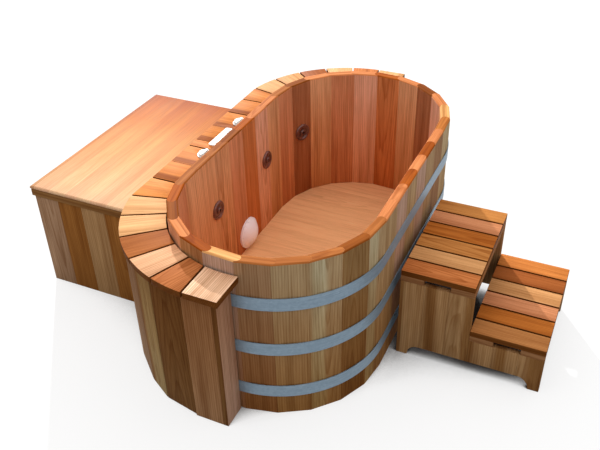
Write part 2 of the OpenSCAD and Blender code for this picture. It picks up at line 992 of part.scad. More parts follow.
// Filter canister with its inlet high and its outlet low on the near side
module filter_housing() {
    wall = 8;
    color(plastic_black)
        translate([filter_xy[0], filter_xy[1], equip_z + face_gap])
        difference() {
            union() {
                cylinder(h = filter_h, r = filter_r);
                cylinder(h = 10, r = filter_r + 10);
                for (z = [pressure_z, heater_z])
                    translate([-filter_r - 12, 0, z - equip_z - face_gap])
                        rotate([0, 90, 0])
                        cylinder(h = 40, r = pipe_r + 4);
            }
            translate([0, 0, 14])
                cylinder(h = filter_h, r = filter_r - wall);
            for (z = [pressure_z, heater_z])
                translate([-filter_r - 13, 0, z - equip_z - face_gap])
                    rotate([0, 90, 0])
                    cylinder(h = 50, r = pipe_r - 4);
        }
}

module filter_cartridge() {
    pleats = 30;
    pleat_r = 66;
    color(plastic_white)
        translate([filter_xy[0], filter_xy[1], equip_z + 15])
        difference() {
            union() {
                cylinder(h = 12, r = pleat_r + 6);
                translate([0, 0, 10])
                    linear_extrude(filter_h - 60)
                    polygon([for (i = [0 : 2 * pleats - 1])
                        (pleat_r - (i % 2) * 14) * [cos(i * 180 / pleats), sin(i * 180 / pleats)]]);
                translate([0, 0, filter_h - 52])
                    cylinder(h = 12, r = pleat_r + 6);
            }
            translate([0, 0, -1])
                cylinder(h = filter_h, r = 24);
        }
}

// Screw ring and lid of the filter, with grips round its edge
module filter_lid() {
    grips = 12;
    z0 = equip_z + filter_h + 0.6;
    color(plastic_black)
        translate([filter_xy[0], filter_xy[1], z0])
        difference() {
            union() {
                cylinder(h = 34, r = filter_r + 6);
                translate([0, 0, 34])
                    cylinder(h = 10, r1 = filter_r, r2 = filter_r - 16);
                for (i = [0 : grips - 1])
                    rotate(i * 360 / grips)
                        translate([filter_r + 4, -4, 0])
                        cube([7, 8, 30]);
            }
            translate([0, 0, -1])
                cylinder(h = 20, r = filter_r - 12);
        }
}

// Control enclosure on the back wall, with cable glands below
module control_box() {
    size = [180, 96, 240];
    x0 = -362;
    z0 = 130;
    back = box_back - box_wall_t - 0.4;
    color(plastic_black) {
        translate([x0 + size[0] / 2, back, z0 + size[2] / 2])
            rotate([90, 0, 0])
            rounded_plate([size[0], size[2]], 10, size[1]);
        translate([x0 + size[0] / 2, back - size[1] + 1, z0 + size[2] / 2])
            rotate([90, 0, 0])
            rounded_plate([size[0] - 30, size[2] - 60], 6, 9);
        for (i = [0 : 3])
            translate([x0 + 36 + i * 36, back - size[1] / 2, z0 - 22])
                cylinder(h = 24, r = 11, $fn = 6);
    }
}

// ---------- Pipes and valves ----------

suction_valve = [suction_place[0], box_front, suction_z];
return_valve = [return_x, 620, heater_z];
drain_valve = [drain_xy[0], 540, drain_line_z];
valve_len = 80;
drain_valve_len = 44;
bonnet_h = 54;
drain_bonnet_h = 34;

module suction_pipe() {
    tail = outer_y + 35 + face_gap;
    color(pipe_colour) {
        pipe([[suction_valve[0], tail, suction_z],
            [suction_valve[0], suction_valve[1] - face_gap, suction_z]], pipe_r);
        pipe([[suction_valve[0], suction_valve[1] + valve_len + face_gap, suction_z],
            [suction_valve[0], pump_y, suction_z],
            [pump_front - 10 - face_gap, pump_y, suction_z]], pipe_r);
    }
}

// Pump to filter, and heater by way of the return valve to the three jets
module pressure_pipes() {
    outlet_x = (pump_front + pump_back) / 2;
    outlet_z = suction_z + volute_r + 18 + face_gap;
    inlet_x = filter_xy[0] - filter_r - 12 - face_gap;
    port_z = jet_z - port_len - face_gap;
    manifold_r = return_r - 3;
    tee_top = manifold_z + tee_ratio * return_r;
    color(pipe_colour) {
        pipe([[outlet_x, pump_y, outlet_z],
            [outlet_x, pump_y, pressure_z],
            [outlet_x, filter_xy[1], pressure_z],
            [inlet_x, filter_xy[1], pressure_z]], pipe_r);
        pipe([[return_x + 50 - face_gap, filter_xy[1], heater_z],
            [return_x, filter_xy[1], heater_z],
            [return_x, return_valve[1] + valve_len + face_gap, heater_z]], return_r);
        pipe([[return_x, return_valve[1] - face_gap, heater_z],
            [return_x, plumb_y, heater_z],
            [return_x, plumb_y, tee_top]], return_r);
        pipe([[jet_near[0], plumb_y, port_z],
            [jet_near[0], plumb_y, manifold_z],
            [half_len, plumb_y, manifold_z],
            [far_port[0], far_port[1], manifold_z],
            [far_port[0], far_port[1], port_z]], manifold_r);
        bar([jet_middle[0], plumb_y, manifold_z - tee_ratio * manifold_r],
            [jet_middle[0], plumb_y, tee_top], return_r);
        bar([jet_middle[0], plumb_y, tee_top - 3],
            [jet_middle[0], plumb_y, port_z], manifold_r);
    }
}

// Air from the two deck controls to the tops of the jets
module air_pipes() {
    high = 500;
    branch_z = 470;
    top = air_neck_low - face_gap;
    port_z = jet_z + port_len + face_gap;
    tee_r = 1.5 * air_r;
    color(pipe_colour) {
        pipe([[air_x[0], control_y, top],
            [air_x[0], control_y, high],
            [jet_near[0], plumb_y, high],
            [jet_near[0], plumb_y, port_z]], air_r);
        pipe([[air_x[1], control_y, top],
            [air_x[1], control_y, high],
            [jet_middle[0], plumb_y, high],
            [jet_middle[0], plumb_y, port_z]], air_r);
        bar([jet_middle[0], plumb_y, branch_z - tee_r],
            [jet_middle[0], plumb_y, branch_z + tee_r], tee_r);
        pipe([[jet_middle[0] + air_r + 0.2, plumb_y, branch_z],
            [half_len, plumb_y, branch_z],
            [far_port[0], far_port[1], branch_z],
            [far_port[0], far_port[1], port_z]], air_r);
    }
}

// From the strainer to the valve, then out through the back of the box to
// a nut and a hose thread
module drain_pipe() {
    rise_y = 470;
    valve_end = drain_valve[1] + drain_valve_len + face_gap;
    nut_y = box_back + face_gap;
    color(pipe_colour) {
        pipe([[drain_xy[0], drain_xy[1], floor_bottom - strainer_tail - face_gap],
            [drain_xy[0], drain_xy[1], drain_z],
            [drain_xy[0], rise_y, drain_z],
            [drain_xy[0], rise_y, drain_line_z],
            [drain_xy[0], drain_valve[1] - face_gap, drain_line_z]], drain_r);
        translate([drain_xy[0], 0, drain_line_z])
            rotate([-90, 0, 0]) {
                translate([0, 0, valve_end])
                    cylinder(h = nut_y - valve_end + 1, r = drain_r);
                translate([0, 0, nut_y])
                    cylinder(h = drain_nut_t, r = drain_r + 8, $fn = 6);
                translate([0, 0, nut_y + drain_nut_t - 1])
                    cylinder(h = drain_thread_len + 1, r = drain_thread_r);
            }
    }
}

// Quarter-turn valve along +Y from its inlet face, with a bonnet on top
module valve_body(place, r, length, bonnet) {
    translate(place)
        difference() {
            union() {
                rotate([-90, 0, 0]) {
                    cylinder(h = length, r = r + 3);
                    cylinder(h = 16, r = r + 8, $fn = 8);
                    translate([0, 0, length - 16])
                        cylinder(h = 16, r = r + 8, $fn = 8);
                }
                translate([0, length / 2, 0])
                    cylinder(h = bonnet, r = 12);
            }
            translate([0, length / 2, bonnet - 16])
                cylinder(h = 20, r = 5.4);
        }
}

module valve_bodies() {
    color(pipe_colour) {
        valve_body(suction_valve, pipe_r, valve_len, bonnet_h);
        valve_body(return_valve, return_r, valve_len, bonnet_h);
    }
    color(brass_colour)
        valve_body(drain_valve, drain_r - 3, drain_valve_len, drain_bonnet_h);
}

// Lever handle over a valve's bonnet, lying along the pipe when open
module valve_handle(place, length, bonnet, reach) {
    translate([place[0], place[1] + length / 2, place[2] + bonnet]) {
        translate([0, 0, -14])
            cylinder(h = 20, r = 5);
        translate([0, 0, 0.4])
            cylinder(h = 9, r = 11);
        translate([-7, 0, 2])
            cube([14, reach, 6]);
        translate([0, reach, 2])
            cylinder(h = 6, r = 7);
    }
}

module suction_valve_handle() {
    color("#b03a2e")
        valve_handle(suction_valve, valve_len, bonnet_h, 62);
}

module return_valve_handle() {
    color("#b03a2e")
        valve_handle(return_valve, valve_len, bonnet_h, 62);
}

module drain_valve_handle() {
    color("#b03a2e")
        valve_handle(drain_valve, drain_valve_len, drain_bonnet_h, 36);
}

// ---------- Fittings in the wall and floor ----------

// Sleeve, nut and barrel of one jet, with water below and air above
module jet_body(place) {
    at_wall(place) {
        rotate_extrude()
            polygon([
                [20, -wall_t - 14], [20, -0.4], [jet_bore_r - 0.4, -0.4],
                [jet_bore_r - 0.4, -wall_t - 0.8], [34, -wall_t - 0.8],
                [34, -wall_t - 14]]);
        translate([0, 0, -wall_t - port_out - 26])
            cylinder(h = port_out + 26 - 13, r = 28);
        translate([0, 0, -wall_t - port_out])
            rotate([90, 0, 0])
            cylinder(h = port_len, r = 18);
        translate([0, 0, -wall_t - port_out])
            rotate([-90, 0, 0])
            cylinder(h = port_len, r = 11);
    }
}

module jet_bodies() {
    color(pipe_colour) {
        jet_body(jet_near);
        jet_body(jet_middle);
        jet_body(jet_far);
    }
}

// Dished jet face with a raised nozzle and three finger grips
module jet_face(place) {
    face_r = 40;
    nozzle_r = 15;
    color(plastic_dark)
        at_wall(place) {
            rotate_extrude()
                polygon([
                    [7, -34], [19.6, -34], [19.6, 0.4], [face_r, 0.4],
                    [face_r, 4], [face_r - 3, 8], [face_r - 9, 9],
                    [face_r - 16, 4], [nozzle_r, 4], [nozzle_r, 9],
                    [nozzle_r - 3, 12], [7, 12]]);
            for (i = [0 : 2])
                rotate(i * 120 + 90)
                    translate([face_r - 13, 0, 2])
                    cylinder(h = 9, r = 3.5);
        }
}

module jet_face_near() {
    jet_face(jet_near);
}

module jet_face_middle() {
    jet_face(jet_middle);
}

module jet_face_far() {
    jet_face(jet_far);
}

module suction_fitting() {
    color(pipe_colour)
        at_wall(suction_place)
        rotate_extrude()
        polygon([
            [14, -wall_t - 35], [14, -0.4], [suction_bore_r - 0.4, -0.4],
            [suction_bore_r - 0.4, -wall_t - 0.8], [23.6, -wall_t - 0.8],
            [23.6, -wall_t - 12], [suction_bore_r - 0.4, -wall_t - 14],
            [suction_bore_r - 0.4, -wall_t - 35]]);
}

// Domed cover over the suction, with water slots round its edge
module suction_cover() {
    rim_r = suction_d / 2;
    dome_r = rim_r - 3;
    dome_h = 32;
    rim_h = 8;
    ball_r = (pow(dome_r, 2) + pow(dome_h, 2)) / (2 * dome_h);
    slots = 16;
    color(cover_colour)
        at_wall(suction_place)
        difference() {
            union() {
                translate([0, 0, 0.3])
                    cylinder(h = rim_h, r = rim_r);
                intersection() {
                    translate([0, 0, rim_h + dome_h - ball_r])
                        sphere(r = ball_r);
                    translate([0, 0, rim_h])
                        cylinder(h = dome_h + 1, r = dome_r);
                }
            }
            for (i = [0 : slots - 1])
                rotate((i + 0.5) * 360 / slots)
                    translate([rim_r - 12, -2.5, rim_h + 1.5])
                    cube([20, 5, 4]);
        }
}

// Strainer let into the floor, with slots in its flange
module drain_strainer() {
    slots = 5;
    color(plastic_white)
        translate([drain_xy[0], drain_xy[1], 0])
        difference() {
            union() {
                translate([0, 0, floor_bottom - strainer_tail])
                    cylinder(h = floor_t + strainer_tail, r = suction_bore_r + 3.6);
                translate([0, 0, floor_top + 0.2])
                    cylinder(h = 3, r = 34);
                translate([0, 0, floor_top - 1])
                    cylinder(h = 2, r = suction_bore_r + 3.6);
            }
            translate([0, 0, floor_bottom - strainer_tail + 4])
                cylinder(h = floor_t + strainer_tail - 4, r = 18);
            for (i = [0 : slots - 1])
                translate([(i - (slots - 1) / 2) * 7 - 2, -13, floor_top - 2])
                    cube([4, 26, 8]);
        }
}

// ---------- Controls ----------

module air_control_bodies() {
    color(plastic_white)
        for (x = air_x)
            translate([x, control_y, 0])
                difference() {
                    union() {
                        translate([0, 0, deck_top + face_gap])
                            cylinder(h = 4, r = air_bezel_r);
                        translate([0, 0, air_neck_low])
                            cylinder(h = deck_top - air_neck_low + 2, r = air_neck_r);
                    }
                    translate([0, 0, deck_top - 40])
                        cylinder(h = 60, r = air_stem_r + 0.4);
                }
}

// Knob with a grip bar across its top
module air_knob(x) {
    knob_r = 25;
    color(plastic_white)
        translate([x, control_y, deck_top + 4 + 2 * face_gap]) {
            translate([0, 0, -30])
                cylinder(h = 32, r = air_stem_r);
            cylinder(h = 7, r = knob_r);
            translate([0, 0, 7])
                cylinder(h = 2, r1 = knob_r, r2 = knob_r - 2);
            translate([-knob_r + 5, -4, 8])
                cube([2 * knob_r - 10, 8, 6]);
        }
}

module air_knob_near() {
    air_knob(air_x[0]);
}

module air_knob_far() {
    air_knob(air_x[1]);
}

// Keypad bezel with its housing below, a display window and button wells
module keypad_housing() {
    color(plastic_white)
        translate([keypad_x, keypad_y, deck_top + face_gap])
        difference() {
            union() {
                rounded_plate(keypad_size, 6, keypad_t);
                translate([0, 0, -32])
                    rounded_plate([keypad_size[0] - 16, keypad_size[1] - 14], 4, 33);
            }
            for (x = button_x)
                translate([x - button_size[0] / 2 - 0.4, -button_size[1] / 2 - 0.4, -6])
                    cube([button_size[0] + 0.8, button_size[1] + 0.8, 20]);
            translate([-34, -11, keypad_t - 1])
                cube([56, 22, 3]);
        }
}

module keypad_button(i) {
    color("#d9dde0")
        translate([keypad_x + button_x[i], keypad_y, deck_top + face_gap - 3])
        rounded_plate(button_size, 2, keypad_t + 3 + button_travel + 0.8);
}

module keypad_button_1() {
    keypad_button(0);
}

module keypad_button_2() {
    keypad_button(1);
}

module keypad_button_3() {
    keypad_button(2);
}

// ---------- Steps ----------

// Side panel of upright boards, cut to the steps above and arched below
module step_side() {
    high = tread_high - slat_t - step_rail_h;
    low = tread_low - slat_t - step_rail_h;
    total = 2 * tread_depth;
    translate([0, step_y, 0])
        rotate([90, 0, 90])
        linear_extrude(side_t)
        difference() {
            for (i = [0 : step_boards - 1])
                translate([-(i + 1) * total / step_boards + seam_gap / 2, 0])
                    square([total / step_boards - seam_gap, i < step_boards / 2 ? high : low]);
            translate([-total + foot_w, -1])
                square([total - 2 * foot_w, arch_h - arch_r + 1]);
            translate([-total + foot_w + arch_r, -1])
                square([total - 2 * foot_w - 2 * arch_r, arch_h + 1]);
            for (y = [-total + foot_w + arch_r, -foot_w - arch_r])
                translate([y, arch_h - arch_r])
                    circle(r = arch_r);
        }
}

module step_sides() {
    color(box_colour) {
        translate([step_x + side_inset, 0, 0])
            step_side();
        translate([step_x + step_width - side_inset - side_t, 0, 0])
            step_side();
    }
}

// Frame under one tread: a rail on each side, broken by a hand hold, and a
// cross rail at the back and the front
module tread_frame(y, z) {
    side_len = (tread_depth - hand_hold_w) / 2;
    x0 = step_x + side_inset;
    x1 = step_x + step_width - side_inset - step_rail_w;
    h = step_rail_h - face_gap;
    translate([0, y - tread_depth, z - slat_t - step_rail_h + face_gap / 2]) {
        for (x = [x0, x1], along = [seam_gap, tread_depth - side_len])
            translate([x, along, 0])
                cube([step_rail_w, side_len - seam_gap, h]);
        for (along = [seam_gap, tread_depth - step_rail_w])
            translate([x0 + step_rail_w + seam_gap, along, 0])
                cube([x1 - x0 - step_rail_w - 2 * seam_gap, step_rail_w - seam_gap, h]);
    }
}

module step_rails() {
    color(frame_colour) {
        tread_frame(step_y, tread_high);
        tread_frame(step_y - tread_depth, tread_low);
    }
}

// Cross pieces between the side panels
module step_stretchers() {
    x0 = step_x + side_inset + side_t + face_gap;
    length = step_width - 2 * (side_inset + side_t + face_gap);
    t = 22;
    h = 60;
    color(frame_colour) {
        for (y = [step_y - t - 20, step_y - tread_depth + 10])
            translate([x0, y, tread_high - slat_t - step_rail_h - h])
                cube([length, t, h]);
        for (y = [step_y - tread_depth - t - 20, step_y - 2 * tread_depth + 10])
            translate([x0, y, tread_low - slat_t - step_rail_h - h])
                cube([length, t, h]);
    }
}

// Slats of one tread, running from back to front
module tread(y, z) {
    ease = 2;
    color(slat_colour)
        for (i = [0 : slat_count - 1])
            translate([step_x + i * (slat_w + slat_gap), y - tread_depth, z - slat_t])
                intersection() {
                    cube([slat_w, tread_depth - 0.5, slat_t]);
                    translate([slat_w / 2, 0, slat_t / 2])
                        rotate([-90, 0, 0])
                        rounded_plate([slat_w, slat_t], ease, tread_depth);
                }
}

module upper_tread() {
    tread(step_y, tread_high);
}

module lower_tread() {
    tread(step_y - tread_depth, tread_low);
}

staves_front();
staves_far_end();
staves_back();
staves_near_end();
floor_boards();
floor_joists();
hoop_top();
hoop_middle();
hoop_bottom();
hoop_bolts();
deck_boards_near();
deck_boards_back();
deck_boards_far();
skirt_panels_near();
skirt_panels_far();
skirt_fascia();
end_boards();
skirt_frame();
box_walls();
box_frame();
box_base();
box_lid();
lid_frame();
hinge_leaves_fixed();
hinge_leaves_moving();
pump_motor();
pump_housing();
pump_rotor();
heater();
filter_housing();
filter_cartridge();
filter_lid();
control_box();
suction_pipe();
pressure_pipes();
air_pipes();
drain_pipe();
valve_bodies();
suction_valve_handle();
return_valve_handle();
drain_valve_handle();
jet_bodies();
jet_face_near();
jet_face_middle();
jet_face_far();
suction_fitting();
suction_cover();
drain_strainer();
air_control_bodies();
air_knob_near();
air_knob_far();
keypad_housing();
keypad_button_1();
keypad_button_2();
keypad_button_3();
step_sides();
step_rails();
step_stretchers();
upper_tread();
lower_tread();
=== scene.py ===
import math
import random

import bmesh
import bpy
from mathutils import Matrix, Vector


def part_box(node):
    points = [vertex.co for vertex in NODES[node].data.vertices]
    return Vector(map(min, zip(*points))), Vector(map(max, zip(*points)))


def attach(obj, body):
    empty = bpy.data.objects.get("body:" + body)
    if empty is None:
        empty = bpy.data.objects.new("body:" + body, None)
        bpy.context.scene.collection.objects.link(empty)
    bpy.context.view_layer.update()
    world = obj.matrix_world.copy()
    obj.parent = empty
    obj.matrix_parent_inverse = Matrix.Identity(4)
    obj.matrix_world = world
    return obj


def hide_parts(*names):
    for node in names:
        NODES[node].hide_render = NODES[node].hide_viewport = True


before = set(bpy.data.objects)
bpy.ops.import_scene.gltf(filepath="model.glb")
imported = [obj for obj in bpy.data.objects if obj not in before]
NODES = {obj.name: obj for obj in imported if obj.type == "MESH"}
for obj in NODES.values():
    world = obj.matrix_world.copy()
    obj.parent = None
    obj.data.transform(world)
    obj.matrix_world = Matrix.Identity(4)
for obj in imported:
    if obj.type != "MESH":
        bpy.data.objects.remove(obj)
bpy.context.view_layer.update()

MM = 0.001
X = Vector((1, 0, 0))
Y = Vector((0, 1, 0))
Z = Vector((0, 0, 1))

# ---------- Sizes that the finishes follow, in metres ----------

HALF_STRAIGHT = 0.364
END_RADIUS = 0.377
STAVE_COUNT = 34
RIM_Z = 0.666
RIM_ROUND = 0.0055
STRAIGHT = 2 * HALF_STRAIGHT
LOOP = 2 * STRAIGHT + 2 * math.pi * END_RADIUS
STAVE_PITCH = LOOP / STAVE_COUNT
BOX_SIDE_BOARDS = 5
BOX_BACK_BOARDS = 8
BOX_BACK_DEPTH = 0.02
LID_SEAMS = (0.655, 0.728, 0.806, 0.872, 0.930, 1.008, 1.086)


# ---------- Colours and nodes ----------

def linear(hex_colour):
    """An sRGB hex colour as linear red, green and blue."""
    parts = [int(hex_colour[i:i + 2], 16) / 255 for i in (1, 3, 5)]
    return tuple(p / 12.92 if p <= 0.04045 else ((p + 0.055) / 1.055) ** 2.4 for p in parts)


def rgba(hex_colour):
    return linear(hex_colour) + (1.0,)


def add(tree, kind, inputs=None, **settings):
    """A shader node with its settings; inputs maps a socket to a value or to what feeds it."""
    node = tree.nodes.new("ShaderNode" + kind)
    for name, value in settings.items():
        setattr(node, name, value)
    for socket, value in (inputs or {}).items():
        if isinstance(value, bpy.types.NodeSocket):
            tree.links.new(value, node.inputs[socket])
        else:
            node.inputs[socket].default_value = value
    return node


def feed(tree, kind, inputs=None, output=0, **settings):
    """One output of a new shader node."""
    return add(tree, kind, inputs, **settings).outputs[output]


def remap(tree, value, to_low=0.0, to_high=1.0, from_low=0.0, from_high=1.0, **settings):
    """A value moved from one range to another, and kept inside it."""
    return feed(tree, "MapRange", {"Value": value, "From Min": from_low, "From Max": from_high,
                                   "To Min": to_low, "To Max": to_high}, **settings)


def blend(tree, share, first, second, way="MIX"):
    """Two colours mixed, or multiplied."""
    return feed(tree, "Mix", {0: share, 6: first, 7: second}, 2, data_type="RGBA", blend_type=way)


def ramp(tree, factor, *stops):
    """A colour ramp through (position, colour) stops."""
    node = add(tree, "ValToRGB", {"Fac": factor})
    elements = node.color_ramp.elements
    while len(elements) < len(stops):
        elements.new(0.5)
    for element, (position, colour) in zip(elements, stops):
        element.position = position
        element.color = tuple(colour) + (1.0,)
    return node.outputs["Color"]


def bumps(tree, height, strength, depth):
    """A surface's normal, roughened by a height; depth is in metres."""
    return feed(tree, "Bump", {"Height": height, "Strength": strength, "Distance": depth},
                "Normal")


def place_in_object(tree):
    return feed(tree, "TexCoord", output="Object")


def new_material(name):
    material = bpy.data.materials.new(name)
    material.use_nodes = True
    material.node_tree.nodes.clear()
    return material, material.node_tree


def surface(tree, inputs):
    """The material's own shader and output."""
    shader = add(tree, "BsdfPrincipled", inputs)
    add(tree, "OutputMaterial", {"Surface": shader.outputs["BSDF"]})


# ---------- Materials: wood ----------

# Dry wood hardly shines: more would veil it with white where it is seen at a low angle
WOOD_SPECULAR = 0.015
PLAIN = (1.0, 1.0, 1.0)
# The spacing of a ring texture's rings at a scale of 1, in metres
WAVE_SPACING = 2 * math.pi / 20
# A length along the board counts for this much of one across it, so that rings run nearly straight
RING_STRETCH = 0.07
# How far a band's edge strays, and where the band starts and ends to fade, in its half widths
BAND_STRAY = 0.7
BAND_FADES_FROM = 0.6
BAND_FADES_TO = 1.4


def cedar(name, ring, rough, rings=1.0, streaks=1.0, broad=35, over=None):
    """Western red cedar, sawn and sanded: straight fine rings and long soft streaks.

    The grain attribute gives the place in the board in metres, measured from its pith. ring is the
    rings' spacing and broad the wide streaks' width, in mm. Real rings are 2 to 3 mm apart; these
    are wider, so that they show from a few metres away. rings and streaks are strengths. over is an
    axis, its range in metres and the shades along it, multiplied into the colour: painted shade on
    the staves and the lid, and the skirt's change with height.
    """
    material, tree = new_material(name)
    grain = feed(tree, "Attribute", output="Vector", attribute_name="grain")
    tone = add(tree, "Attribute", attribute_name="tone").outputs
    band = feed(tree, "Attribute", output="Color", attribute_name="band")

    def noise(across, length, detail=3.0):
        """Noise with features of the given width across the grain and length along it, in mm."""
        scale = (1000 / across, 1000 / across, 1000 / length)
        place = feed(tree, "Mapping", {"Vector": grain, "Scale": scale})
        return feed(tree, "TexNoise", {"Vector": place, "Scale": 1.0, "Detail": detail,
                                       "Roughness": 0.58}, "Fac")

    # a soft-edged band of heartwood that wanders a little along the board
    wander = remap(tree, noise(90, 420, 2.0), -BAND_STRAY, BAND_STRAY)
    reach = feed(tree, "Math", {0: tone["Alpha"], 1: wander}, operation="ADD")
    reach = feed(tree, "Math", {0: reach}, operation="ABSOLUTE")
    inside = remap(tree, reach, from_low=BAND_FADES_TO, from_high=BAND_FADES_FROM,
                   interpolation_type="SMOOTHSTEP")
    colour = blend(tree, inside, tone["Color"], band)

    stretched = feed(tree, "Mapping", {"Vector": grain, "Scale": (1, 1, RING_STRETCH)})
    ring_lines = feed(tree, "TexWave", {
        "Vector": stretched, "Scale": WAVE_SPACING / ring * 1000, "Distortion": 6.0, "Detail": 3.0,
        "Detail Scale": 0.45, "Detail Roughness": 0.6,
    }, "Fac", wave_type="RINGS", rings_direction="Z", wave_profile="SAW")
    fibre = noise(3, 85)
    # growth rings, broad streaks, narrow streaks and fibres, each with its strength
    patterns = (
        (rings, ramp(tree, ring_lines, (0.0, (1.06, 1.07, 1.08)), (0.55, (1.02, 1.02, 1.02)),
                     (0.92, (0.78, 0.68, 0.58)), (1.0, PLAIN))),
        (streaks, ramp(tree, noise(broad, broad * 18), (0.30, (0.80, 0.73, 0.66)), (0.50, PLAIN),
                       (0.70, (1.14, 1.17, 1.20)))),
        (streaks, ramp(tree, noise(10, 420), (0.30, (0.82, 0.76, 0.70)), (0.50, PLAIN),
                       (0.70, (1.10, 1.12, 1.14)))),
        (1.0, ramp(tree, fibre, (0.30, (0.90, 0.87, 0.84)), (0.70, (1.08, 1.10, 1.12)))),
    )
    for strength, pattern in patterns:
        colour = blend(tree, strength, colour, pattern, "MULTIPLY")
    # shades along an axis, multiplied in: painted shade on the staves and the lid, and the skirt's
    # change with height
    if over:
        axis, low, high, shades = over
        place = feed(tree, "SeparateXYZ", {"Vector": place_in_object(tree)}, axis)
        share = remap(tree, place, from_low=low, from_high=high)
        stops = [((at - low) / (high - low), shade) for at, shade in shades]
        colour = blend(tree, 1.0, colour, ramp(tree, share, *stops), "MULTIPLY")
    height = feed(tree, "Math", {0: fibre, 1: ring_lines}, operation="ADD")
    surface(tree, {"Base Color": colour,
                   "Roughness": remap(tree, fibre, rough - 0.06, rough + 0.08),
                   "Normal": bumps(tree, height, 0.25, 0.0006),
                   "Specular IOR Level": WOOD_SPECULAR, "IOR": 1.5})
    return material


# Painted shade: the staves are darker and redder towards the floor, where less light reaches them,
# and paler near the rim, where more light falls
DAMP_FOOT = ("Z", 0.0, 0.66, (
    (0.03, (0.74, 0.61, 0.42)), (0.22, (0.90, 0.84, 0.74)), (0.41, (1.0, 1.04, 1.08)),
    (0.60, (1.10, 1.32, 1.60))))
# The skirt is paler towards the floor and darker towards the deck
FADED_FOOT = ("Z", 0.0, 0.63, (
    (0.05, (1.22, 1.34, 1.5)), (0.30, PLAIN), (0.58, (0.86, 0.78, 0.70))))
# The lid's boards run its whole length. Painted shade: the lid grows darker and redder towards its
# far end, where the light falls off, and a little darker at its near edge
LID_LENGTH = ("X", -0.45, 0.55, (
    (-0.42, (0.93, 0.87, 0.78)), (-0.35, (1.0, 0.91, 0.76)), (-0.05, (1.0, 0.70, 0.43)),
    (0.10, (0.87, 0.58, 0.30)), (0.25, (0.76, 0.39, 0.14)), (0.38, (0.68, 0.31, 0.10)),
    (0.50, (0.52, 0.19, 0.045))))

STAVE_WOOD = cedar("cedar_stave_sanded", 8.5, 0.56, rings=0.85, over=DAMP_FOOT)
DECK_WOOD = cedar("cedar_deck_sanded", 6.5, 0.52)
SKIRT_WOOD = cedar("cedar_skirt_planed", 8.5, 0.60, over=FADED_FOOT)
BOX_WOOD = cedar("cedar_box_planed", 8.5, 0.60, rings=0.75)
STEP_WOOD = cedar("cedar_step_panel_planed", 8.5, 0.60, rings=0.75)
LID_WOOD = cedar("cedar_lid_sanded", 11, 0.50, rings=0.25, streaks=0.5, broad=55,
                 over=LID_LENGTH)
FLOOR_WOOD = cedar("cedar_floor_sanded", 5, 0.60, rings=0.5, streaks=0.35, broad=25)
FRAME_WOOD = cedar("cedar_frame_rough_sawn", 9, 0.75)


# ---------- Materials: metal and plastic ----------

def galvanised_band():
    """Galvanised steel band: dull blue-grey zinc, with faint roll marks along its length.

    The weathered zinc is only part metal, so that it mirrors little of what stands beside it.
    """
    material, tree = new_material("galvanised_steel_band")
    place = place_in_object(tree)
    # crystals about 10 mm across, hardly to be seen, and marks 3 mm wide that run along the band
    crystals = feed(tree, "TexVoronoi", {"Vector": place, "Scale": 100.0}, "Color")
    crystal = feed(tree, "SeparateColor", {"Color": crystals})
    marks = feed(tree, "TexNoise", {
        "Vector": feed(tree, "Mapping", {"Vector": place, "Scale": (9, 9, 330)}),
        "Scale": 1.0, "Detail": 4.0, "Roughness": 0.65}, "Fac")
    both = feed(tree, "Mix", {0: 0.85, 2: crystal, 3: marks}, data_type="FLOAT")
    colour = ramp(tree, both, (0.25, linear("#778B9B")), (0.5, linear("#859AAB")),
                  (0.78, linear("#98ABBB")))
    surface(tree, {"Base Color": colour, "Metallic": 0.45,
                   "Roughness": remap(tree, both, 0.42, 0.56),
                   "Normal": bumps(tree, marks, 0.15, 0.0003)})
    return material


def turned_steel():
    """Stainless steel, turned and pickled: a fine even satin."""
    material, tree = new_material("stainless_steel_satin")
    place = place_in_object(tree)
    fine = feed(tree, "TexNoise", {"Vector": place, "Scale": 900.0, "Detail": 3.0}, "Fac")
    colour = ramp(tree, fine, (0.3, linear("#A9ADB0")), (0.7, linear("#D3D6D8")))
    surface(tree, {"Base Color": colour, "Metallic": 1.0,
                   "Roughness": remap(tree, fine, 0.26, 0.40)})
    return material


def moulded(name, dark, light, rough, grain_mm=0.8, coat=0.0):
    """Injection-moulded plastic: one colour through, with the mould's fine spark texture."""
    material, tree = new_material(name)
    place = place_in_object(tree)
    texture = feed(tree, "TexNoise", {"Vector": place, "Scale": 1000.0 / grain_mm,
                                      "Detail": 2.0}, "Fac")
    cloud = feed(tree, "TexNoise", {"Vector": place, "Scale": 14.0, "Detail": 4.0}, "Fac")
    both = feed(tree, "Mix", {0: 0.35, 2: cloud, 3: texture}, data_type="FLOAT")
    colour = ramp(tree, both, (0.35, linear(dark)), (0.65, linear(light)))
    surface(tree, {"Base Color": colour,
                   "Roughness": remap(tree, cloud, rough - 0.05, rough + 0.07),
                   "Normal": bumps(tree, texture, 0.12, 0.0002),
                   "IOR": 1.5, "Coat Weight": coat, "Coat Roughness": 0.12})
    return material


def filter_cloth():
    """Pleated polyester felt: dull, with a fine fibrous speckle."""
    material, tree = new_material("polyester_felt")
    fibres = feed(tree, "TexNoise", {"Vector": place_in_object(tree), "Scale": 700.0,
                                     "Detail": 4.0}, "Fac")
    colour = ramp(tree, fibres, (0.3, linear("#D9DCDD")), (0.7, linear("#F4F5F4")))
    surface(tree, {"Base Color": colour, "Roughness": 0.9,
                   "Normal": bumps(tree, fibres, 0.5, 0.0004), "Sheen Weight": 0.3})
    return material


